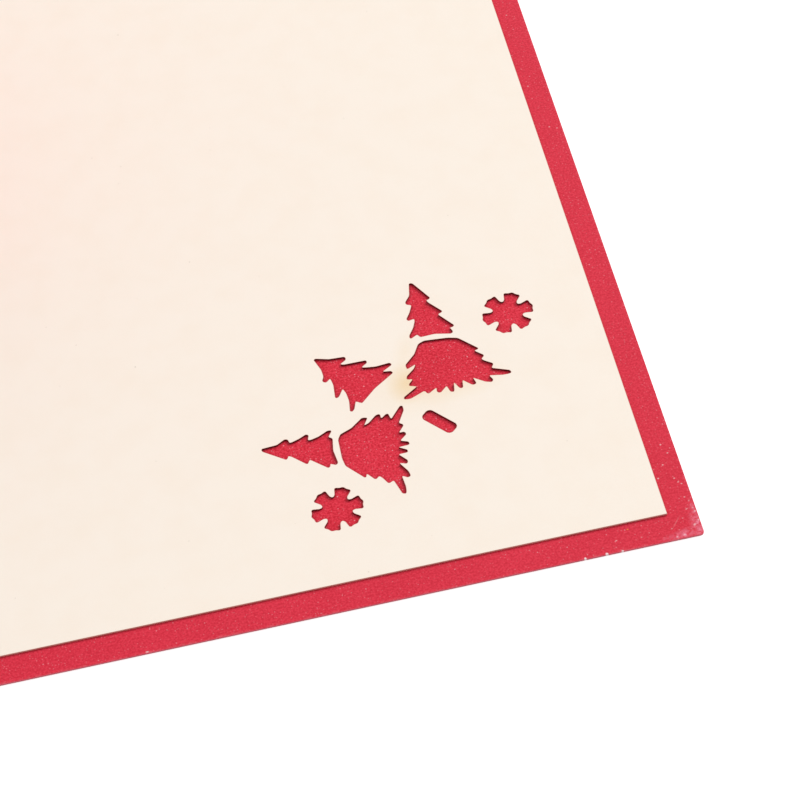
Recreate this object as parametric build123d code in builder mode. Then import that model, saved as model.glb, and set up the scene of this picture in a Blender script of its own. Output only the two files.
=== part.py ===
from build123d import *
import os
from math import cos, hypot, radians, sin, sqrt, tan

os.makedirs("parts", exist_ok=True)

# Card, opened out flat on its back: the fold runs along Y, over the origin
page_width = 150.0
page_length = 200.0
cover_thickness = 0.35
cover_corner_radius = 0.6

# Scored fold, which stands up as a low bead along the middle of the open card
crease_half_width = 1.2
crease_rise = 0.3

# Inner sheet, glued flat on the cover with a border of cover round it
sheet_thickness = 0.3
side_border = 4.5
end_border = 4.7

# Corner motif, drawn in a square field that is set in from the page's edges
motif_field = 50.0
motif_side_inset = 12.0
motif_end_inset = 11.7
cut_corner_run = 0.3

# Share of a side that the rounding of one of its corners may take
corner_side_share = 0.45

# Paper fir that stands up from the fold: two crossing sets of slotted leaves
leaf_thickness = 0.3
leaf_pitch = 12.0
leaf_steps = range(-2, 3)
tree_height = 105.0
branch_droop = 4.0
slot_clearance = 0.1
foot_clearance = 0.2
first_leaf_angle = 45.0
second_leaf_angle = 135.0

# Tabs that hold the tree: each goes through the inner sheet and is glued under it
tab_width = 5.0
flap_length = 7.0
flap_corner_radius = 1.2
tab_bend_radius = 0.2
tab_clearance = 0.15
pad_run = 0.8
overrun = 2.0

# Branch tiers from the foot up: outer and waist radius in leaf pitches, and the
# height of the waist as a share of the tree's. No crossing of two leaves falls
# between a waist and the next outer radius, so every branch stays in one piece.
tier_outer_shares = (3.5, 2.7, 1.87, 0.92)
tier_waist_shares = (2.37, 1.55, 0.6, 0.0)
tier_height_shares = (0.29, 0.54, 0.77, 1.0)

# Crown of the fir cut-out, as shares of the fir's field about the foot of its trunk
fir_crown_shares = (
    (-0.108, 0.885), (-0.119, 0.882), (-0.137, 0.784), (-0.175, 0.734), (-0.172, 0.715),
    (-0.142, 0.703), (-0.146, 0.687), (-0.167, 0.640), (-0.197, 0.594), (-0.187, 0.578),
    (-0.148, 0.587), (-0.148, 0.565), (-0.168, 0.514), (-0.208, 0.454), (-0.207, 0.427),
    (-0.155, 0.455), (-0.143, 0.427), (-0.046, 0.430), (0.056, 0.405), (0.071, 0.417),
    (0.056, 0.456), (0.078, 0.456), (0.088, 0.468), (0.005, 0.583), (0.043, 0.598),
    (-0.033, 0.696), (-0.042, 0.718), (-0.023, 0.722), (-0.013, 0.732), (-0.096, 0.877),
)

# Wide lower branches of the same fir, below a narrow bridge of paper
fir_skirt_shares = (
    (0.354, -0.004), (0.349, 0.017), (0.239, 0.064), (0.261, 0.097), (0.209, 0.134),
    (0.193, 0.153), (0.220, 0.176), (0.163, 0.231), (0.189, 0.235), (0.195, 0.243),
    (0.087, 0.358), (0.025, 0.376), (-0.126, 0.391), (-0.167, 0.374), (-0.207, 0.300),
    (-0.280, 0.228), (-0.279, 0.207), (-0.276, 0.193), (-0.215, 0.220), (-0.234, 0.185),
    (-0.291, 0.136), (-0.297, 0.111), (-0.256, 0.105), (-0.289, 0.072), (-0.292, 0.058),
    (-0.243, 0.041), (-0.343, -0.024), (-0.344, -0.039), (-0.308, -0.045), (-0.207, -0.004),
    (-0.190, -0.036), (-0.127, 0.003), (-0.133, -0.035), (-0.113, -0.046), (-0.064, 0.000),
    (-0.050, -0.054), (-0.032, -0.059), (-0.026, -0.051), (-0.015, 0.017), (0.013, -0.042),
    (0.032, -0.043), (0.041, 0.020), (0.097, -0.038), (0.122, -0.032), (0.108, 0.021),
    (0.182, -0.034), (0.219, -0.045), (0.230, -0.029), (0.210, 0.012), (0.297, -0.007),
    (0.335, -0.008),
)

# Small fir that leans out from the corner, as shares of the motif's field
small_fir_shares = (
    (0.229, 0.718), (0.245, 0.672), (0.247, 0.643), (0.239, 0.625), (0.250, 0.617),
    (0.266, 0.632), (0.271, 0.602), (0.267, 0.552), (0.271, 0.548), (0.279, 0.552),
    (0.296, 0.581), (0.304, 0.560), (0.307, 0.526), (0.302, 0.486), (0.308, 0.483),
    (0.316, 0.491), (0.326, 0.521), (0.341, 0.510), (0.345, 0.509), (0.395, 0.556),
    (0.463, 0.602), (0.458, 0.610), (0.430, 0.614), (0.466, 0.635), (0.461, 0.644),
    (0.415, 0.640), (0.381, 0.645), (0.369, 0.649), (0.391, 0.663), (0.390, 0.673),
    (0.317, 0.674), (0.306, 0.679), (0.329, 0.693), (0.327, 0.705), (0.276, 0.708),
    (0.235, 0.721),
)

# One arm of the snowflake, whose head has three low points: turn in degrees from its
# middle, and share of the radius
snowflake_arm_shares = (
    (-30.0, 0.542), (-21.0, 0.634), (-19.0, 0.960), (-8.0, 0.935), (0.0, 1.0),
    (8.0, 0.935), (19.0, 0.960), (21.0, 0.634),
)
snowflake_arms = 6

# Sizes in the motif, as shares of its field, with the turns in degrees. The mirrored
# half of the motif is a little smaller than the other.
fir_field_share = 0.5
snowflake_radius_share = 0.086
snowflake_turn = 7.0
trunk_length_share = 0.115
trunk_width_share = 0.043
trunk_corner_share = 0.015
trunk_turn = -48.3
mirrored_size_share = 0.97
mirrored_fir_turn = 83.0

# Places in the motif's field, as shares of it, with the size share of each snowflake
fir_place_share = (0.648, 0.508)
mirrored_fir_place_share = (0.425, 0.302)
snowflake_places = ((0.870, 0.747, 1.0), (0.192, 0.128, mirrored_size_share))
trunk_place_share = (0.564, 0.375)

# Levels above the ground, and what follows from the sizes above
card_top = cover_thickness + sheet_thickness
leaf_foot = card_top + max(leaf_thickness, crease_rise) + foot_clearance
sheet_half_width = page_width - side_border
sheet_length = page_length - 2 * end_border
crease_radius = (crease_half_width**2 + crease_rise**2) / (2 * crease_rise)
slot_width = leaf_thickness + slot_clearance
flap_reach = leaf_thickness / 2 + tab_bend_radius + flap_length
pad_back = -leaf_thickness / 2 - tab_clearance
pad_front = flap_reach + tab_clearance
pad_half = tab_width / 2 + tab_clearance
slot_front = leaf_thickness / 2 + tab_bend_radius + tab_clearance
motif_origin = Vector(
    page_width - motif_side_inset - motif_field, motif_end_inset - page_length / 2
)
fir_field = fir_field_share * motif_field
trunk_length = trunk_length_share * motif_field
trunk_width = trunk_width_share * motif_field
trunk_corner_radius = trunk_corner_share * motif_field

# Tiers as outer radius, waist radius, height of the branch tips, height of the waist
tiers = []
tier_floor = 0.0
for outer, waist, top in zip(tier_outer_shares, tier_waist_shares, tier_height_shares):
    tip_height = max(tier_floor - branch_droop, 0.0)
    tiers.append((outer * leaf_pitch, waist * leaf_pitch, tip_height, top * tree_height))
    tier_floor = top * tree_height


def sheet_section(half_width, low, high):
    """Section of a creased sheet whose faces lie at two levels above the ground"""
    centre = crease_rise - crease_radius

    def foot(level):
        return sqrt((crease_radius + level) ** 2 - (level - centre) ** 2)

    Polyline((-foot(low), low), (-half_width, low), (-half_width, high), (-foot(high), high))
    ThreePointArc((-foot(high), high), (0, high + crease_rise), (foot(high), high))
    Polyline((foot(high), high), (half_width, high), (half_width, low), (foot(low), low))
    ThreePointArc((foot(low), low), (0, low + crease_rise), (-foot(low), low))


def rounded_outline(points):
    """Closed outline with each corner rounded off over one run along its two sides"""
    radii = []
    for before, corner, after in zip(points[-1:] + points[:-1], points, points[1:] + points[:1]):
        back, ahead = before - corner, after - corner
        run = min(cut_corner_run, corner_side_share * min(back.length, ahead.length))
        radii.append(run * tan(radians(back.get_angle(ahead) / 2)))
    FilletPolyline(*points, radius=radii, close=True)


def cut_outline(shares, field, place_share=(0, 0), turn=0, side=1):
    """Cut-out's outline at its place in the motif's field, mirrored where side is -1"""
    place = motif_origin + Vector(*place_share) * motif_field
    return [Vector(side * x, y).rotate(Axis.Z, turn) * field + place for x, y in shares]


def snowflake_outline(x_share, y_share, size_share):
    """Snowflake's outline, arm by arm round its middle"""
    place = motif_origin + Vector(x_share, y_share) * motif_field
    radius = snowflake_radius_share * motif_field * size_share
    points = []
    for arm in range(snowflake_arms):
        for turn, share in snowflake_arm_shares:
            angle = snowflake_turn + 360 * arm / snowflake_arms + turn
            points.append(place + Vector(1, 0).rotate(Axis.Z, angle) * share * radius)
    return points


def upright_plane(angle, place, height):
    """Plane that stands on the ground, its x axis at an angle to the card's"""
    direction = Vector(1, 0).rotate(Axis.Z, angle)
    return Plane(
        origin=place + Vector(0, 0, height), x_dir=direction, z_dir=direction.cross(Vector(0, 0, 1))
    )


def leaf_outline(offset):
    """Outline of the leaf that passes the tree's middle at this distance"""
    side = []
    for outer, waist, low, high in tiers:
        side.append((sqrt(outer**2 - offset**2), low))
        if waist <= offset:
            side.append((0, low + (high - low) * (outer - offset) / (outer - waist)))
            break
        side.append((sqrt(waist**2 - offset**2), high))
    return side + [(-x, z) for x, z in reversed(side[:-1])]


def slot_height(offset, along):
    """Half the tree's height over the point where two leaves cross"""
    radius = hypot(offset, along)
    for outer, waist, low, high in tiers:
        if waist <= radius:
            return (low + (high - low) * (outer - radius) / (outer - waist)) / 2


def tab_section():
    """Tab from the leaf's foot down through the inner sheet and round to its flap"""
    half = leaf_thickness / 2
    bend = half + tab_bend_radius
    flap_top = cover_thickness + leaf_thickness
    centre = (bend, flap_top + tab_bend_radius)
    root = leaf_foot + overrun
    Polyline((-half, centre[1]), (-half, root), (half, root), (half, centre[1]))
    CenterArc(centre, tab_bend_radius, 180, 90)
    Polyline(
        (bend, flap_top), (flap_reach, flap_top), (flap_reach, cover_thickness), (bend, cover_thickness)
    )
    CenterArc(centre, tab_bend_radius + leaf_thickness, 180, 90)


# Tab places: where the outermost leaves cross over the middle of either page
tab_reach = leaf_steps[-1] * leaf_pitch * sqrt(2)
tab_places = [(1, Vector(tab_reach, 0)), (-1, Vector(-tab_reach, 0))]


def flap_angle(side):
    """Direction in which the flap on this side of the fold lies"""
    return first_leaf_angle - 90 * side


# Cover: one sheet of card, creased along the middle
with BuildPart() as cover:
    with BuildSketch(Plane.XZ):
        with BuildLine():
            sheet_section(page_width, 0, cover_thickness)
        make_face()
    extrude(amount=page_length / 2, both=True)
    fillet(cover.edges().filter_by(Axis.Z), cover_corner_radius)

cover.part.label = "cover"
export_step(cover.part, "parts/cover.step")


def flap_rectangle(start, end, half_width):
    """Rectangle along the flap from one distance behind its leaf to one in front"""
    with Locations((start, 0)):
        Rectangle(end - start, 2 * half_width, align=(Align.MIN, Align.CENTER))


def flap_plane(side, place, height):
    """Level plane over a flap, its x axis along the flap"""
    direction = Vector(1, 0).rotate(Axis.Z, flap_angle(side))
    return Plane(origin=place + Vector(0, 0, height), x_dir=direction, z_dir=(0, 0, 1))


# Outlines of the motif: two like firs, mirrored, with a small fir between them
motif_outlines = [cut_outline(small_fir_shares, motif_field)]
for shares in (fir_crown_shares, fir_skirt_shares):
    motif_outlines.append(cut_outline(shares, fir_field, fir_place_share))
    mirrored_field = fir_field * mirrored_size_share
    motif_outlines.append(
        cut_outline(shares, mirrored_field, mirrored_fir_place_share, mirrored_fir_turn, side=-1)
    )
for snowflake_place in snowflake_places:
    motif_outlines.append(snowflake_outline(*snowflake_place))

# Inner sheet: creased with the cover, pressed up over the flaps, cut with the motif
with BuildPart() as inner_sheet:
    with BuildSketch(Plane.XZ):
        with BuildLine():
            sheet_section(sheet_half_width, cover_thickness, card_top)
        make_face()
    extrude(amount=sheet_length / 2, both=True)

    # Pads over the flaps, as high as a flap is thick and hollow below
    for side, place in tab_places:
        for level, mode in ((card_top, Mode.ADD), (cover_thickness, Mode.SUBTRACT)):
            for height, spread in ((level, pad_run), (level + leaf_thickness, 0)):
                with BuildSketch(flap_plane(side, place, height)):
                    flap_rectangle(pad_back - spread, pad_front + spread, pad_half + spread)
            loft(mode=mode)

    # Slot through each pad for its tab
    for side, place in tab_places:
        with BuildSketch(flap_plane(side, place, cover_thickness)):
            flap_rectangle(pad_back, slot_front, pad_half)
        extrude(amount=leaf_foot, mode=Mode.SUBTRACT)

    # Motif, with the short trunk of the small fir
    with BuildSketch(Plane.XY.offset(cover_thickness)):
        for outline in motif_outlines:
            with BuildLine():
                rounded_outline(outline)
            make_face()
        with Locations(motif_origin + Vector(*trunk_place_share) * motif_field):
            RectangleRounded(trunk_length, trunk_width, trunk_corner_radius, rotation=trunk_turn)
    extrude(amount=sheet_thickness, mode=Mode.SUBTRACT)

inner_sheet.part.label = "inner_sheet"
export_step(inner_sheet.part, "parts/inner_sheet.step")


# Leaves of the fir: the first set is slotted from the top, and its two outermost
# leaves have a tab each. The second set is slotted from the foot and crosses it.
leaf_sets = (("slotted_leaf", first_leaf_angle, True), ("crossing_leaf", second_leaf_angle, False))
for name, angle, from_top in leaf_sets:
    for number, step in enumerate(leaf_steps, start=1):
        offset = abs(step) * leaf_pitch
        with BuildPart() as leaf:
            plane = upright_plane(angle, Vector(), leaf_foot).offset(step * leaf_pitch)
            with BuildSketch(plane):
                with BuildLine():
                    Polyline(*leaf_outline(offset), close=True)
                make_face()
                for other in leaf_steps:
                    middle = slot_height(offset, other * leaf_pitch)
                    low, high = (middle, tree_height + overrun) if from_top else (-overrun, middle)
                    with Locations((other * leaf_pitch, low)):
                        Rectangle(
                            slot_width,
                            high - low,
                            align=(Align.CENTER, Align.MIN),
                            mode=Mode.SUBTRACT,
                        )
            extrude(amount=leaf_thickness / 2, both=True)
            for side, place in tab_places:
                if from_top and step == side * leaf_steps[-1]:
                    with BuildSketch(upright_plane(flap_angle(side), place, 0)):
                        with BuildLine():
                            tab_section()
                        make_face()
                    extrude(amount=tab_width / 2, both=True)
                    along_flap = Axis((0, 0, 0), Vector(1, 0).rotate(Axis.Z, flap_angle(side)))
                    flap_corners = leaf.edges().filter_by(Axis.Z).group_by(along_flap)[-1]
                    fillet(flap_corners, flap_corner_radius)
        leaf.part.label = f"{name}_{number}"
        export_step(leaf.part, f"parts/{name}_{number}.step")
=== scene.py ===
import math

import bmesh
import bpy
from bpy.props import FloatProperty, FloatVectorProperty, PointerProperty
from mathutils import Euler, Matrix, Vector


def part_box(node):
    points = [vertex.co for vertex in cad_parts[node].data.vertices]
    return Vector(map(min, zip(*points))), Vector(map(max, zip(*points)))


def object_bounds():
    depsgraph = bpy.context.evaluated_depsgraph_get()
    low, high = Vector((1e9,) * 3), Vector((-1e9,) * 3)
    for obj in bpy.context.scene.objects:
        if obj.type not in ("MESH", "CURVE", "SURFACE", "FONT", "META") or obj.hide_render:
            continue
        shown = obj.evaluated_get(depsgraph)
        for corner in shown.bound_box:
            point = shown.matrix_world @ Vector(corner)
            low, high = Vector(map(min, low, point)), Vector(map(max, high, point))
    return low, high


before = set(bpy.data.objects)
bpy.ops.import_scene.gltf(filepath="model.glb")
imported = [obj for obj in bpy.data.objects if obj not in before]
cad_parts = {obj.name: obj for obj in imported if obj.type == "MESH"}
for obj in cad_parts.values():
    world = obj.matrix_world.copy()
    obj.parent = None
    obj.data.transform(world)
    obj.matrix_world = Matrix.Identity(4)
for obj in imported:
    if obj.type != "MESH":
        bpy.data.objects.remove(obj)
cad_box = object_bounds()

bl_info = {
    "name": "Pop Up Card",
    "version": (1, 0, 0),
    "blender": (4, 5, 0),
    "location": "3D View > Sidebar > Card",
    "description": "Dresses a laser-cut pop-up card: pearl cover, cream inner sheet and paper fir",
    "category": "Object",
}

MM = 0.001
LEAVES_PER_SET = 5
SENSOR_WIDTH_MM = 36
CAMERA_CLIP = 0.01
FLOOR_SIDES = 96

# Half depth of a patch of wear or stain. It is far more than a sheet's thickness, so a patch
# at a sheet's edge also marks the wall below.
PATCH_DEPTH = 0.01

# Powers that spread the strengths of flakes and fibres: the higher, the fewer strong ones.
FLAKE_RARITY = 1.6
FIBRE_RARITY = 2.5

# Share of a flake's reach within which it has its full strength.
FLAKE_CORE = 0.45

# Heights of the pearl card's grain and the cream card's tooth, as shares of their widths.
GRAIN_RELIEF = 0.06
TOOTH_RELIEF = 0.05

# Rays for each point that looks for a wall or an edge close by.
CLOSE_RAYS = 6


def linear(code):
    """Turns an sRGB hex colour into the linear colour that Blender's sockets take."""
    channels = [int(code[i : i + 2], 16) / 255 for i in (1, 3, 5)]
    return tuple(c / 12.92 if c <= 0.04045 else ((c + 0.055) / 1.055) ** 2.4 for c in channels)


def colour(name, description, code):
    """A colour property with an sRGB hex default."""
    return FloatVectorProperty(
        name=name, description=description, subtype="COLOR", default=linear(code), min=0, max=1
    )


def length(name, description, default):
    """A length property in metres."""
    return FloatProperty(
        name=name, description=description, default=default, min=0, precision=5, unit="LENGTH"
    )


def fraction(name, description, default):
    """A property from nought to one."""
    return FloatProperty(
        name=name, description=description, default=default, min=0, max=1, subtype="FACTOR"
    )


class PearlCardSettings(bpy.types.PropertyGroup):
    """Colours, pattern sizes and strengths of the red pearl card."""

    deep: colour("Deep red", "Card colour in the hollows of its grain", "#C8122B")
    light: colour("Light red", "Card colour on the rises of its grain", "#EA364B")
    # Painted highlight: the glint of a pearl flake, mixed into the colour. The rubbed band along the cover's
    # outer edges also takes this pale pink.
    glint: colour("Glint", "Colour of a pearl flake that catches the light", "#FBB4BC")
    core: colour("Cut edge", "Dyed core that shows at a cut edge", "#DE6C7A")
    bared: colour("Bared paper", "Paper that shows where the coating is chipped off", "#F9DEDE")
    scuffed: colour("Scuffed red", "Cool pink of the coating where the worn corner is scuffed", "#FFA3BC")
    stray: colour("Stray fleck", "A fleck of another card that stuck to the cover", "#F28A3C")
    # A flatter, slightly paler red that the cover's bare border is mixed toward.
    flattened: colour("Handled border", "Smoother, slightly paler red that hands have rubbed", "#D83048")
    # Painted shade: a dark red mixed into the cover along the foot of the inner sheet's walls.
    painted_shade: colour("Soot", "Fine soot from the cuts, along the foot of their walls", "#5A1010")

    border: length("Border", "Width of the border that the inner sheet leaves bare", 0.005)
    # How far from a wall the painted shade reaches.
    painted_shade_reach: length("Soot reach", "How far the soot lies from a wall", 0.0005)
    grain: length("Grain", "Width of the mottled grain", 0.00032)
    cloud: length("Clouding", "Width of the broad, faint clouding", 0.009)
    flake: length("Flake spacing", "Spacing of the small pearl flakes", 0.00045)
    bright_flake: length("Bright flake spacing", "Spacing of the brighter flakes", 0.0009)
    flaw: length("Flaws", "Width of the flaws that break up rubs and scuffs", 0.0006)
    rub: length("Rubbed band", "Width of the rubbed band along an outer edge", 0.0004)
    lip: length("Lip", "Width of the outermost strip, where the scuffs are faintest", 0.0001)
    corner_rub: length("Corner scuff", "How far the scuffs reach along each edge of the worn corner", 0.0075)
    corner_band: length("Scuff width", "How far the scuffs reach in from the edge", 0.0017)

    clouding: fraction("Clouding strength", "How far the clouding shifts the grain", 0.16)
    flake_size: fraction("Flake size", "Reach of a small flake, as a share of the spacing", 0.28)
    bright_flake_size: fraction("Bright flake size", "The same for a brighter flake", 0.16)
    flake_shine: fraction("Flake shine", "Strength of the small flakes", 0.46)
    bright_flake_shine: fraction("Bright flake shine", "Strength of the brighter flakes", 0.75)
    rubbing: fraction("Rubbing", "Strength of the rubbed band", 0.25)
    scuffing: fraction("Scuffing", "Strength of the corner's scuffs", 0.92)
    # How far the bare border is mixed toward the flatter red.
    flattening: fraction("Handling", "How much of its grain the handled border has lost", 0.38)
    # Strength of the painted shade at the foot of the walls.
    painted_shade_strength: fraction("Sooting", "Strength of the soot", 0.32)
    roughness: fraction("Roughness", "Roughness of the coated face", 0.46)
    cut_roughness: fraction("Cut roughness", "Roughness of a cut edge", 0.85)
    steepness: fraction("Wall limit", "Cosine of the tilt past which a face is a cut wall", 0.7)


class CreamCardSettings(bpy.types.PropertyGroup):
    """Colours, pattern sizes and strengths of the cream card."""

    paper: colour("Cream", "Colour of the cream card", "#FEF3E6")
    shade: colour("Cream shade", "Colour of its faint blotches", "#FCEEDE")
    scorch: colour("Scorch", "Brown that the laser leaves on the wall of a cut-out", "#52140F")
    toasted: colour("Toasted rim", "Red-brown rim on the face beside a cut", "#C4443A")
    trimmed: colour("Trimmed edge", "Paler brown of the sheet's own trimmed edges", "#D89C92")
    stain: colour("Stain", "Smoke stain beside the cuts", "#F5DAAE")
    speck: colour("Speck", "Small grey fibres in the card", "#D9CDBE")

    tooth: length("Tooth", "Width of the card's fine surface tooth", 0.00025)
    blotch: length("Blotches", "Width of the faint blotches", 0.006)
    speck_spacing: length("Speck spacing", "Spacing of the cells that may hold a speck", 0.004)
    rim: length("Scorched rim", "Width of the browned rim round a cut", 0.0001)
    trim: length("Trimmed depth", "How far in from its outer edges the sheet counts as trimmed", 0.0003)

    blotching: fraction("Blotch strength", "Strength of the faint blotches", 0.45)
    toasting: fraction("Toasting", "Strength of the toasted rim", 0.75)
    roughness: fraction("Roughness", "Roughness of the card", 0.78)
    steepness: fraction("Wall limit", "Cosine of the tilt past which a face is a cut wall", 0.6)


class StudioSettings(bpy.types.PropertyGroup):
    """Camera, light and floor."""

    camera: FloatVectorProperty(
        name="Camera",
        description="Where the camera stands",
        subtype="TRANSLATION",
        unit="LENGTH",
        default=(0.082601, -0.303472, 0.308805),
    )
    angles: FloatVectorProperty(
        name="Camera angles",
        description="How the camera is turned",
        subtype="EULER",
        unit="ROTATION",
        default=(math.radians(37.889), math.radians(3.963), math.radians(-11.859)),
    )
    focal: FloatProperty(name="Focal length", description="Lens length in millimetres", default=112.5)
    sky: FloatProperty(name="Sky", description="Strength of the even white light", default=0.61)
    lamp: FloatProperty(name="Lamp", description="Power of the soft lamp", default=175.0, unit="POWER")
    lamp_width: length("Lamp width", "Side of the square soft lamp", 2.0)
    lamp_place: FloatVectorProperty(
        name="Lamp place",
        description="Where the lamp hangs, behind the card and to its right",
        subtype="TRANSLATION",
        unit="LENGTH",
        default=(3.51, 2.3, 2.43),
    )
    floor_radius: length("Floor radius", "Radius of the round floor", 8.0)
    floor_lip: length("Floor lip", "How far the floor reaches in under the card's edge", 0.003)
    floor_drop: length("Floor drop", "Gap that keeps the floor clear of the card's back", 0.00002)
    floor_grey: fraction("Floor grey", "How much light the floor throws back", 0.8)
    floor_lift: fraction("Floor lift", "What the eye sees on the floor besides, so that it looks white", 0.6)


def need(name):
    """The CAD node of that name, or an error that stops the script."""
    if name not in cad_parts:
        raise RuntimeError(f"the packed card has no node named {name}")
    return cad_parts[name]


def dress(node, material):
    """Puts a material in every slot of a node."""
    if not node.material_slots:
        raise RuntimeError(f"{node.name} has no material slot")
    for slot in node.material_slots:
        slot.material = material


def start_material(name):
    """A new material with an empty tree."""
    material = bpy.data.materials.new(name)
    material.use_nodes = True
    material.node_tree.nodes.clear()
    return material


def add(tree, kind, sockets=None, **settings):
    """Adds a node, sets its fields, and fills its sockets with values or links."""
    made = tree.nodes.new(kind)
    for field, value in settings.items():
        setattr(made, field, value)
    for socket, value in (sockets or {}).items():
        if isinstance(value, bpy.types.NodeSocket):
            tree.links.new(value, made.inputs[socket])
        else:
            made.inputs[socket].default_value = value
    return made


def rgba(value):
    """A colour property's value as a socket's colour."""
    return (*value, 1.0)


def patch(tree, place, row, height):
    """A soft ellipse on a sheet: strongest in its middle and nought at its rim.

    row holds the middle, the half length and the half width in millimetres, the turn in
    degrees and the strength. A strength over one makes the patch flat with a sharper rim.
    """
    x, y, long, wide, turn, strength = row
    local = add(
        tree,
        "ShaderNodeMapping",
        {
            "Vector": place,
            "Location": (x * MM, y * MM, height),
            "Rotation": (0.0, 0.0, math.radians(turn)),
            "Scale": (long * MM, wide * MM, PATCH_DEPTH),
        },
        vector_type="TEXTURE",
    ).outputs["Vector"]
    ball = add(tree, "ShaderNodeTexGradient", {"Vector": local}, gradient_type="SPHERICAL")
    return add(
        tree,
        "ShaderNodeMath",
        {0: ball.outputs["Fac"], 1: strength},
        operation="MULTIPLY",
        use_clamp=True,
    ).outputs[0]


def inset(tree, place, high):
    """Distance in from the nearest outer edge of a sheet that lies centred on the origin."""
    axes = add(tree, "ShaderNodeSeparateXYZ", {0: place})
    inside = high.x
    for axis, reach in enumerate((high.x, high.y)):
        out = add(tree, "ShaderNodeMath", {0: axes.outputs[axis]}, operation="ABSOLUTE").outputs[0]
        gap = add(tree, "ShaderNodeMath", {0: reach, 1: out}, operation="SUBTRACT").outputs[0]
        inside = add(tree, "ShaderNodeMath", {0: inside, 1: gap}, operation="MINIMUM").outputs[0]
    return inside


def cut_walls(tree, face, steepness):
    """One on the walls, which turn away from the way that the flat side looks, else nought."""
    normal = add(tree, "ShaderNodeNewGeometry").outputs["Normal"]
    turned = add(tree, "ShaderNodeVectorMath", {0: normal, 1: face}, operation="DOT_PRODUCT")
    flat = add(tree, "ShaderNodeMath", {0: turned.outputs["Value"]}, operation="ABSOLUTE").outputs[0]
    return add(tree, "ShaderNodeMath", {0: flat, 1: steepness}, operation="LESS_THAN").outputs[0]


# Wear that the photograph shows on the cover. Each row holds the middle, half length and half
# width in millimetres, the turn in degrees and the strength.
WEAR = (
    # Chips in the front edge
    (65.6, -99.8, 0.35, 0.2, 0, 0.8),
    (131.7, -100.0, 0.2, 0.35, 0, 3.0),
    (135.0, -100.0, 0.25, 0.35, 0, 3.0),
    (137.4, -100.0, 0.25, 0.25, 0, 1.4),
    # Flecks up the side edge to the worn corner, and along its front
    (148.05, -82.4, 0.2, 0.17, 0, 0.7),
    (148.65, -84.2, 0.2, 0.16, 0, 0.7),
    (147.35, -86.2, 0.2, 0.16, 0, 0.7),
    (146.0, -88.5, 0.2, 0.18, 0, 0.85),
    (148.35, -89.05, 0.2, 0.15, 0, 0.7),
    (148.75, -89.85, 0.25, 0.15, 40, 0.6),
    (149.15, -90.3, 0.2, 0.15, 0, 0.7),
    (148.9, -92.8, 0.2, 0.15, 0, 0.6),
    (149.35, -93.6, 0.25, 0.15, 50, 0.4),
    (148.6, -95.0, 0.3, 0.15, 30, 0.5),
    (149.55, -95.0, 0.2, 0.15, 0, 0.6),
    (149.7, -95.65, 0.25, 0.2, 60, 0.7),
    (149.8, -97.35, 0.25, 0.2, 60, 0.7),
    (149.0, -98.05, 0.35, 0.25, 50, 0.65),
    (147.05, -99.45, 0.25, 0.2, 0, 0.7),
    (145.9, -99.55, 0.2, 0.2, 0, 0.6),
    (145.5, -97.95, 0.2, 0.15, 0, 0.4),
    # The scratch beside the corner
    (146.4, -97.0, 1.7, 0.13, 51, 0.16),
    # Flecks farther along both borders
    (136.95, -97.95, 0.2, 0.15, 0, 0.6),
    (140.75, -98.3, 0.2, 0.15, 0, 0.35),
    (138.65, -96.4, 0.15, 0.15, 0, 0.4),
    (147.9, -12.5, 0.2, 0.15, 0, 0.65),
    (149.1, -13.1, 0.2, 0.15, 0, 0.65),
    (147.2, 16.1, 0.2, 0.15, 0, 0.65),
    (146.7, -2.1, 0.2, 0.15, 0, 0.65),
)
STRAY_FLECK = (139.1, -96.4, 0.2, 0.15, 0, 1.3)


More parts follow.
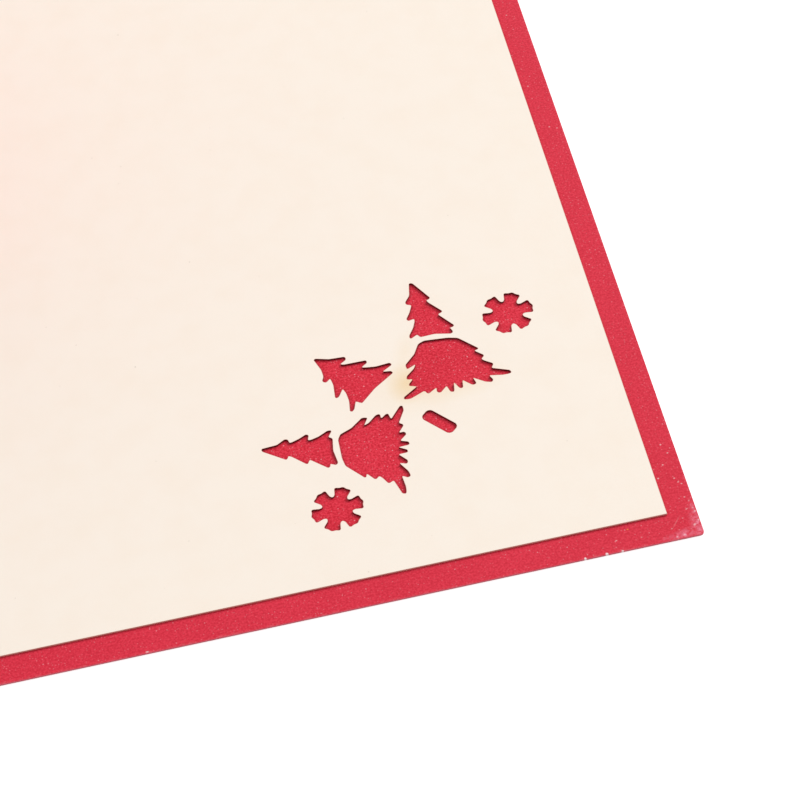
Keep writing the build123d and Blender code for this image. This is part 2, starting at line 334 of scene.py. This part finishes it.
def pearl_card(name, face, worn):
    """Pearl card: dyed through and coated with mica flakes, then laser-cut.

    face is the way that the sheet's flat side looks. worn adds the wear of the open cover and
    the painted shade along the foot of the inner sheet's walls.
    """
    # The eye sees a satin red with a fine mottle, pale pink points where a flake faces the light,
    # and a paler, matt line where the sheet is cut. The flakes' points are painted highlights, mixed
    # into the colour.
    card = bpy.context.scene.pearl_card
    material = start_material(name)
    tree = material.node_tree
    place = add(tree, "ShaderNodeTexCoord").outputs["Object"]

    grain = add(
        tree,
        "ShaderNodeTexNoise",
        {"Vector": place, "Scale": 1 / card.grain, "Detail": 1.0, "Roughness": 0.6},
    ).outputs["Fac"]
    cloud = add(
        tree,
        "ShaderNodeTexNoise",
        {"Vector": place, "Scale": 1 / card.cloud, "Detail": 2.0, "Roughness": 0.5},
    ).outputs["Fac"]
    mottle = add(
        tree,
        "ShaderNodeMath",
        {0: cloud, 1: card.clouding, 2: grain},
        operation="MULTIPLY_ADD",
    ).outputs[0]
    tone = add(
        tree,
        "ShaderNodeMapRange",
        {"Value": mottle, "From Min": 0.44, "From Max": 0.73},
    ).outputs["Result"]
    layers = [(tone, card.light)]

    # Small flakes are faint and crowded, bright ones are few. Each flake's glint is a painted
    # highlight: pale pink mixed into the colour, the same under any lamp.
    for spacing, size, shine in (
        (card.flake, card.flake_size, card.flake_shine),
        (card.bright_flake, card.bright_flake_size, card.bright_flake_shine),
    ):
        cells = add(tree, "ShaderNodeTexVoronoi", {"Vector": place, "Scale": 1 / spacing})
        flake = add(
            tree,
            "ShaderNodeMapRange",
            {"Value": cells.outputs["Distance"], "From Min": size, "From Max": size * FLAKE_CORE},
            interpolation_type="SMOOTHSTEP",
        ).outputs["Result"]
        pick = add(tree, "ShaderNodeSeparateColor", {"Color": cells.outputs["Color"]}).outputs[0]
        pick = add(tree, "ShaderNodeMath", {0: pick, 1: FLAKE_RARITY}, operation="POWER").outputs[0]
        for part in (pick, shine):
            flake = add(tree, "ShaderNodeMath", {0: flake, 1: part}, operation="MULTIPLY").outputs[0]
        layers.append((flake, card.glint))

    wall = cut_walls(tree, face, card.steepness)
    # The worn cover's layers include the painted shade along the foot of the walls.
    if worn:
        layers += wear_and_shade_layers(tree, place, card)
    layers.append((wall, card.core))
    if worn:
        layers += chip_layers(tree, place, card)
    red = rgba(card.deep)
    for share, paint in layers:
        red = add(
            tree,
            "ShaderNodeMix",
            {0: share, 6: red, 7: rgba(paint)},
            data_type="RGBA",
        ).outputs[2]

    gloss = add(
        tree,
        "ShaderNodeMapRange",
        {"Value": wall, "To Min": card.roughness, "To Max": card.cut_roughness},
    ).outputs["Result"]
    relief = add(
        tree,
        "ShaderNodeBump",
        {"Height": grain, "Strength": 0.25, "Distance": card.grain * GRAIN_RELIEF},
    ).outputs["Normal"]
    shader = add(
        tree,
        "ShaderNodeBsdfPrincipled",
        {
            "Base Color": red,
            "Roughness": gloss,
            "Normal": relief,
            "IOR": 1.5,
            "Specular IOR Level": 0.2,
            "Coat Weight": 0.05,
            "Coat Roughness": 0.35,
        },
    )
    add(tree, "ShaderNodeOutputMaterial", {"Surface": shader.outputs[0]})
    return material


def wear_and_shade_layers(tree, place, card):
    """Shares and colours of the cover's rubs, scuffs and flattened border, and of the painted
    shade at the foot of the inner sheet's walls.
    """
    low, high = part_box("cover")
    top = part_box("inner_sheet")[0].z
    inside = inset(tree, place, high)
    flaw = add(
        tree,
        "ShaderNodeTexNoise",
        {"Vector": place, "Scale": 1 / card.flaw, "Detail": 3.0, "Roughness": 0.65},
    ).outputs["Fac"]
    rub = add(
        tree,
        "ShaderNodeMapRange",
        {"Value": inside, "From Min": card.rub, "From Max": 0.0, "To Max": card.rubbing},
    ).outputs["Result"]
    broken = add(
        tree,
        "ShaderNodeMapRange",
        {"Value": flaw, "From Min": 0.48, "From Max": 0.62},
    ).outputs["Result"]
    rub = add(tree, "ShaderNodeMath", {0: rub, 1: broken}, operation="MULTIPLY").outputs[0]

    # The coating has paled where the two outer edges meet, on the corner that has been handled.
    # The scuffs are widest at the corner's tip and fade at the very lip of the edge.
    tip = add(
        tree,
        "ShaderNodeVectorMath",
        {0: place, 1: (high.x, low.y, top)},
        operation="DISTANCE",
    ).outputs["Value"]
    scuff = add(
        tree,
        "ShaderNodeMapRange",
        {"Value": tip, "From Min": card.corner_rub, "From Max": card.corner_rub * 0.4},
    ).outputs["Result"]
    reach = add(
        tree,
        "ShaderNodeMapRange",
        {"Value": scuff, "To Min": card.corner_band * 0.4, "To Max": card.corner_band * 1.15},
    ).outputs["Result"]
    band = add(
        tree,
        "ShaderNodeMapRange",
        {"Value": inside, "From Min": reach, "From Max": card.rub},
    ).outputs["Result"]
    paled = add(
        tree,
        "ShaderNodeMapRange",
        {"Value": flaw, "From Min": 0.38, "From Max": 0.64, "To Min": 0.08, "To Max": card.scuffing},
    ).outputs["Result"]
    lip = add(
        tree,
        "ShaderNodeMapRange",
        {"Value": inside, "From Min": card.lip, "From Max": card.rub, "To Min": 0.35},
    ).outputs["Result"]
    for part in (band, paled, lip):
        scuff = add(tree, "ShaderNodeMath", {0: scuff, 1: part}, operation="MULTIPLY").outputs[0]

    # The bare border is mixed toward a flatter, paler red, so its grain and flakes show less there.
    border = add(
        tree,
        "ShaderNodeMapRange",
        {
            "Value": inside,
            "From Min": card.border,
            "From Max": card.border * 0.9,
            "To Max": card.flattening,
        },
    ).outputs["Result"]

    # Painted shade: the cover is darkened along the foot of the inner sheet's walls, as far as
    # ambient occlusion finds a wall close by.
    open_sky = add(
        tree,
        "ShaderNodeAmbientOcclusion",
        {"Distance": card.painted_shade_reach},
        samples=CLOSE_RAYS,
    ).outputs["AO"]
    painted_shade = add(
        tree,
        "ShaderNodeMapRange",
        {"Value": open_sky, "From Min": 0.96, "From Max": 0.55, "To Max": card.painted_shade_strength},
    ).outputs["Result"]
    return [(rub, card.glint), (scuff, card.scuffed), (border, card.flattened), (painted_shade, card.painted_shade)]


def chip_layers(tree, place, card):
    """Shares and colours of the chips that bare the paper, and of one stray fleck."""
    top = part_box("inner_sheet")[0].z
    bare = 0.0
    for row in WEAR:
        chip = patch(tree, place, row, top)
        bare = add(tree, "ShaderNodeMath", {0: bare, 1: chip}, operation="MAXIMUM").outputs[0]
    return [(bare, card.bared), (patch(tree, place, STRAY_FLECK, top), card.stray)]


# Smoke stains beside the fir's cut, with the broad, faint haze round them last. The rows are
# laid out as those of WEAR.
STAINS = (
    (112.7, -60.8, 4.5, 3.4, 78, 0.85),
    (119.8, -62.2, 9.5, 4.5, 1, 0.45),
    (113.8, -54.6, 5.0, 2.2, 70, 0.22),
    (113.1, -61.9, 9.0, 6.5, 0, 0.25),
)


def cream_card():
    """Cream card: smooth uncoated card that a laser has cut."""
    # The eye sees an even, matt cream, a dark red-brown line on each cut wall, a yellow breath
    # of smoke beside the widest cut, and now and then a grey fibre.
    card = bpy.context.scene.cream_card
    material = start_material("cream_card_laser_cut")
    tree = material.node_tree
    place = add(tree, "ShaderNodeTexCoord").outputs["Object"]
    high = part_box("inner_sheet")[1]

    blotch = add(
        tree,
        "ShaderNodeTexNoise",
        {"Vector": place, "Scale": 1 / card.blotch, "Detail": 3.0, "Roughness": 0.55},
    ).outputs["Fac"]
    blotch = add(
        tree,
        "ShaderNodeMapRange",
        {"Value": blotch, "From Min": 0.4, "From Max": 0.75, "To Max": card.blotching},
    ).outputs["Result"]
    cells = add(tree, "ShaderNodeTexVoronoi", {"Vector": place, "Scale": 1 / card.speck_spacing})
    fibre = add(
        tree,
        "ShaderNodeMapRange",
        {"Value": cells.outputs["Distance"], "From Min": 0.045, "From Max": 0.02},
    ).outputs["Result"]
    pick = add(tree, "ShaderNodeSeparateColor", {"Color": cells.outputs["Color"]}).outputs[0]
    pick = add(tree, "ShaderNodeMath", {0: pick, 1: FIBRE_RARITY}, operation="POWER").outputs[0]
    fibre = add(tree, "ShaderNodeMath", {0: fibre, 1: pick}, operation="MULTIPLY").outputs[0]

    layers = [(blotch, card.shade)]
    layers += [(patch(tree, place, row, high.z), card.stain) for row in STAINS]
    layers.append((fibre, card.speck))
    cream = rgba(card.paper)
    for share, paint in layers:
        cream = add(
            tree,
            "ShaderNodeMix",
            {0: share, 6: cream, 7: rgba(paint)},
            data_type="RGBA",
        ).outputs[2]

    # The laser browns the whole cut wall and a thin rim of the face beside it.
    within = add(
        tree,
        "ShaderNodeAmbientOcclusion",
        {"Distance": card.rim},
        inside=True,
        only_local=True,
        samples=CLOSE_RAYS,
    ).outputs["AO"]
    rim = add(
        tree,
        "ShaderNodeMapRange",
        {"Value": within, "From Min": 0.95, "From Max": 0.68, "To Max": card.toasting},
    ).outputs["Result"]
    wall = cut_walls(tree, (0, 0, 1), card.steepness)
    burnt = add(tree, "ShaderNodeMath", {0: rim, 1: wall}, operation="MAXIMUM").outputs[0]

    # The sheet's own edges are trimmed, and browned less.
    trimmed = add(
        tree,
        "ShaderNodeMath",
        {0: inset(tree, place, high), 1: card.trim},
        operation="LESS_THAN",
    ).outputs[0]
    brown = rgba(card.toasted)
    for share, paint in ((wall, card.scorch), (trimmed, card.trimmed)):
        brown = add(
            tree,
            "ShaderNodeMix",
            {0: share, 6: brown, 7: rgba(paint)},
            data_type="RGBA",
        ).outputs[2]
    cream = add(tree, "ShaderNodeMix", {0: burnt, 6: cream, 7: brown}, data_type="RGBA").outputs[2]

    tooth = add(
        tree,
        "ShaderNodeTexNoise",
        {"Vector": place, "Scale": 1 / card.tooth, "Detail": 2.0},
    ).outputs["Fac"]
    relief = add(
        tree,
        "ShaderNodeBump",
        {"Height": tooth, "Strength": 0.12, "Distance": card.tooth * TOOTH_RELIEF},
    ).outputs["Normal"]
    shader = add(
        tree,
        "ShaderNodeBsdfPrincipled",
        {
            "Base Color": cream,
            "Roughness": card.roughness,
            "Normal": relief,
            "IOR": 1.5,
            "Specular IOR Level": 0.15,
        },
    )
    add(tree, "ShaderNodeOutputMaterial", {"Surface": shader.outputs[0]})
    return material


def white_behind(tree, extra):
    """A strength that is extra for the eye, a mirror or glass, and nought for lighting."""
    path = add(tree, "ShaderNodeLightPath")
    seen = add(
        tree,
        "ShaderNodeMath",
        {0: path.outputs["Is Camera Ray"], 1: path.outputs["Is Glossy Ray"]},
        operation="ADD",
    ).outputs[0]
    seen = add(
        tree,
        "ShaderNodeMath",
        {0: seen, 1: path.outputs["Is Transmission Ray"]},
        operation="ADD",
        use_clamp=True,
    ).outputs[0]
    return add(tree, "ShaderNodeMath", {0: seen, 1: extra}, operation="MULTIPLY").outputs[0]


class CARD_OT_cover(bpy.types.Operator):
    """Dresses the cover in worn red pearl card, with painted shade along the foot of the inner sheet's
    walls.
    """

    bl_idname = "card.cover"
    bl_label = "Cover"

    def execute(self, context):
        dress(need("cover"), pearl_card("red_pearl_card_cover", (0, 0, 1), worn=True))
        return {"FINISHED"}


class CARD_OT_inner_sheet(bpy.types.Operator):
    """Dresses the inner sheet in laser-cut cream card."""

    bl_idname = "card.inner_sheet"
    bl_label = "Inner sheet"

    def execute(self, context):
        dress(need("inner_sheet"), cream_card())
        return {"FINISHED"}


class CARD_OT_paper_fir(bpy.types.Operator):
    """Dresses the two crossing sets of leaves in red pearl card."""

    bl_idname = "card.paper_fir"
    bl_label = "Paper fir"

    def execute(self, context):
        half = math.sqrt(0.5)
        slotted = pearl_card("red_pearl_card_slotted", (half, -half, 0), worn=False)
        crossing = pearl_card("red_pearl_card_crossing", (half, half, 0), worn=False)
        for number in range(1, LEAVES_PER_SET + 1):
            dress(need(f"slotted_leaf_{number}"), slotted)
            dress(need(f"crossing_leaf_{number}"), crossing)
        return {"FINISHED"}


class CARD_OT_studio(bpy.types.Operator):
    """Makes the floor, the even light, the soft lamp and the camera."""

    bl_idname = "card.studio"
    bl_label = "Studio"

    def execute(self, context):
        scene = context.scene
        scene.view_settings.view_transform = "Standard"
        self.lay_floor(scene)
        self.light_sky(scene)
        self.hang_lamp(scene)
        self.set_camera(scene)
        return {"FINISHED"}

    def lay_floor(self, scene):
        """The floor, left open under the card so that the card's back shows from below."""
        studio = scene.studio
        shape = bmesh.new()
        bmesh.ops.create_circle(
            shape, cap_ends=True, segments=FLOOR_SIDES, radius=studio.floor_radius
        )
        low, high = cad_box
        for corner, out in ((low, -1), (high, 1)):
            for axis in (Vector((1, 0, 0)), Vector((0, 1, 0))):
                bmesh.ops.bisect_plane(
                    shape,
                    geom=shape.verts[:] + shape.edges[:] + shape.faces[:],
                    plane_co=Vector((corner[0], corner[1], 0)) - axis * out * studio.floor_lip,
                    plane_no=axis,
                )
        hidden = []
        for face in shape.faces:
            middle = face.calc_center_median()
            if abs(middle.x) < high[0] and abs(middle.y) < high[1]:
                hidden.append(face)
        bmesh.ops.delete(shape, geom=hidden, context="FACES")
        bmesh.ops.translate(shape, verts=shape.verts[:], vec=(0, 0, -studio.floor_drop))
        mesh = bpy.data.meshes.new("floor")
        shape.to_mesh(mesh)
        shape.free()
        floor = bpy.data.objects.new("floor", mesh)
        scene.collection.objects.link(floor)
        mesh.materials.append(self.floor_material(studio))

    def floor_material(self, studio):
        """Matt white floor that keeps shadows and looks pure white to the eye."""
        material = start_material("matt_white_floor")
        tree = material.node_tree
        matt = add(tree, "ShaderNodeBsdfDiffuse", {"Color": rgba([studio.floor_grey] * 3)})
        lift = add(
            tree,
            "ShaderNodeEmission",
            {"Color": (1, 1, 1, 1), "Strength": white_behind(tree, studio.floor_lift)},
        )
        both = add(tree, "ShaderNodeAddShader", {0: matt.outputs[0], 1: lift.outputs[0]})
        add(tree, "ShaderNodeOutputMaterial", {"Surface": both.outputs[0]})
        return material

    def light_sky(self, scene):
        """Even white light from all sides, which looks pure white where the eye meets it."""
        world = bpy.data.worlds.new("even_white_light")
        world.use_nodes = True
        tree = world.node_tree
        tree.nodes.clear()
        sky = scene.studio.sky
        strength = add(
            tree,
            "ShaderNodeMath",
            {0: white_behind(tree, 1 - sky), 1: sky},
            operation="ADD",
        ).outputs[0]
        light = add(tree, "ShaderNodeBackground", {"Color": (1, 1, 1, 1), "Strength": strength})
        add(tree, "ShaderNodeOutputWorld", {"Surface": light.outputs[0]})
        scene.world = world

    def hang_lamp(self, scene):
        """The soft lamp, turned towards the card."""
        studio = scene.studio
        lamp = bpy.data.lights.new("soft_lamp", "AREA")
        lamp.size = studio.lamp_width
        lamp.energy = studio.lamp
        hung = bpy.data.objects.new("soft_lamp", lamp)
        scene.collection.objects.link(hung)
        aim = (-Vector(studio.lamp_place)).to_track_quat("-Z", "Y").to_matrix().to_4x4()
        hung.matrix_world = Matrix.Translation(studio.lamp_place) @ aim

    def set_camera(self, scene):
        """The camera at the photograph's viewing angle."""
        studio = scene.studio
        lens = bpy.data.cameras.new("photo_camera")
        lens.lens = studio.focal
        lens.sensor_width = SENSOR_WIDTH_MM
        lens.clip_start = CAMERA_CLIP
        camera = bpy.data.objects.new("photo_camera", lens)
        scene.collection.objects.link(camera)
        camera.location = studio.camera
        camera.rotation_euler = Euler(studio.angles, "XYZ")
        scene.camera = camera


PIECES = (CARD_OT_cover, CARD_OT_inner_sheet, CARD_OT_paper_fir, CARD_OT_studio)
SETTINGS = {
    "pearl_card": PearlCardSettings,
    "cream_card": CreamCardSettings,
    "studio": StudioSettings,
}


class CARD_PT_pieces(bpy.types.Panel):
    """Lists the card's pieces and their settings."""

    bl_idname = "CARD_PT_pieces"
    bl_label = "Pop Up Card"
    bl_space_type = "VIEW_3D"
    bl_region_type = "UI"
    bl_category = "Card"

    def draw(self, context):
        column = self.layout.column()
        for piece in PIECES:
            column.operator(piece.bl_idname)
        for group, kind in SETTINGS.items():
            box = self.layout.box()
            box.label(text=group.replace("_", " ").capitalize())
            for field in kind.__annotations__:
                box.prop(getattr(context.scene, group), field)


def register():
    """Registers the settings, the operators and the panel."""
    for kind in (*SETTINGS.values(), *PIECES, CARD_PT_pieces):
        bpy.utils.register_class(kind)
    for group, kind in SETTINGS.items():
        setattr(bpy.types.Scene, group, PointerProperty(type=kind))


def unregister():
    """Takes the panel, the operators and the settings away again."""
    for group in SETTINGS:
        delattr(bpy.types.Scene, group)
    for kind in reversed((*SETTINGS.values(), *PIECES, CARD_PT_pieces)):
        bpy.utils.unregister_class(kind)


def main():
    """Dresses the card."""
    register()
    bpy.ops.card.cover()
    bpy.ops.card.inner_sheet()
    bpy.ops.card.paper_fir()
    bpy.ops.card.studio()


if __name__ == "__main__":
    main()
